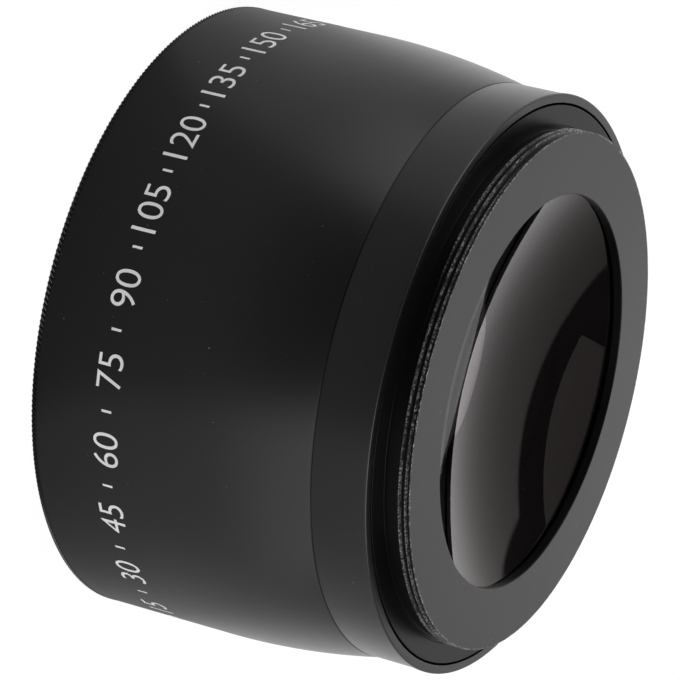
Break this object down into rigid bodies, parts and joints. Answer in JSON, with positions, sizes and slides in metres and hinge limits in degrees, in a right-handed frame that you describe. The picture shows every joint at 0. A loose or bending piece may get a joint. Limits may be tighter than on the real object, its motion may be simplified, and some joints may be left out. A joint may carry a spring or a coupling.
{
  "type": "telephoto conversion lens",
  "caption": "Telephoto conversion lens with a waisted black barrel, a male rear thread round a recessed hollow glass, and a knurled front ring with an accessory thread.",
  "frame": {"origin": "centre of the front rim's plane, on the optical axis, where the lens stands", "axes": "+Z along the optical axis, from the front rim towards the camera side"},
  "size_m": [0.0688, 0.0688, 0.0432],
  "materials": {
    "barrel_finish": "black anodised, satin",
    "mount_finish": "black anodised, matt",
    "inner_black": "blackened, matt",
    "cushion": "matt",
    "optical_glass": "polished and coated"
  },
  "bodies": {
    "root": {"barrel": "barrel_finish", "front_ring": "barrel_finish", "front_retaining_ring": "inner_black", "front_cushion_ring": "cushion", "front_element": "optical_glass", "front_spacer_ring": "inner_black", "second_element": "optical_glass", "light_baffle": "inner_black", "rear_retaining_ring": "inner_black", "rear_cushion_ring": "cushion", "rear_element": "optical_glass", "rear_mount_ring": "mount_finish"}
  },
  "joints": []
}
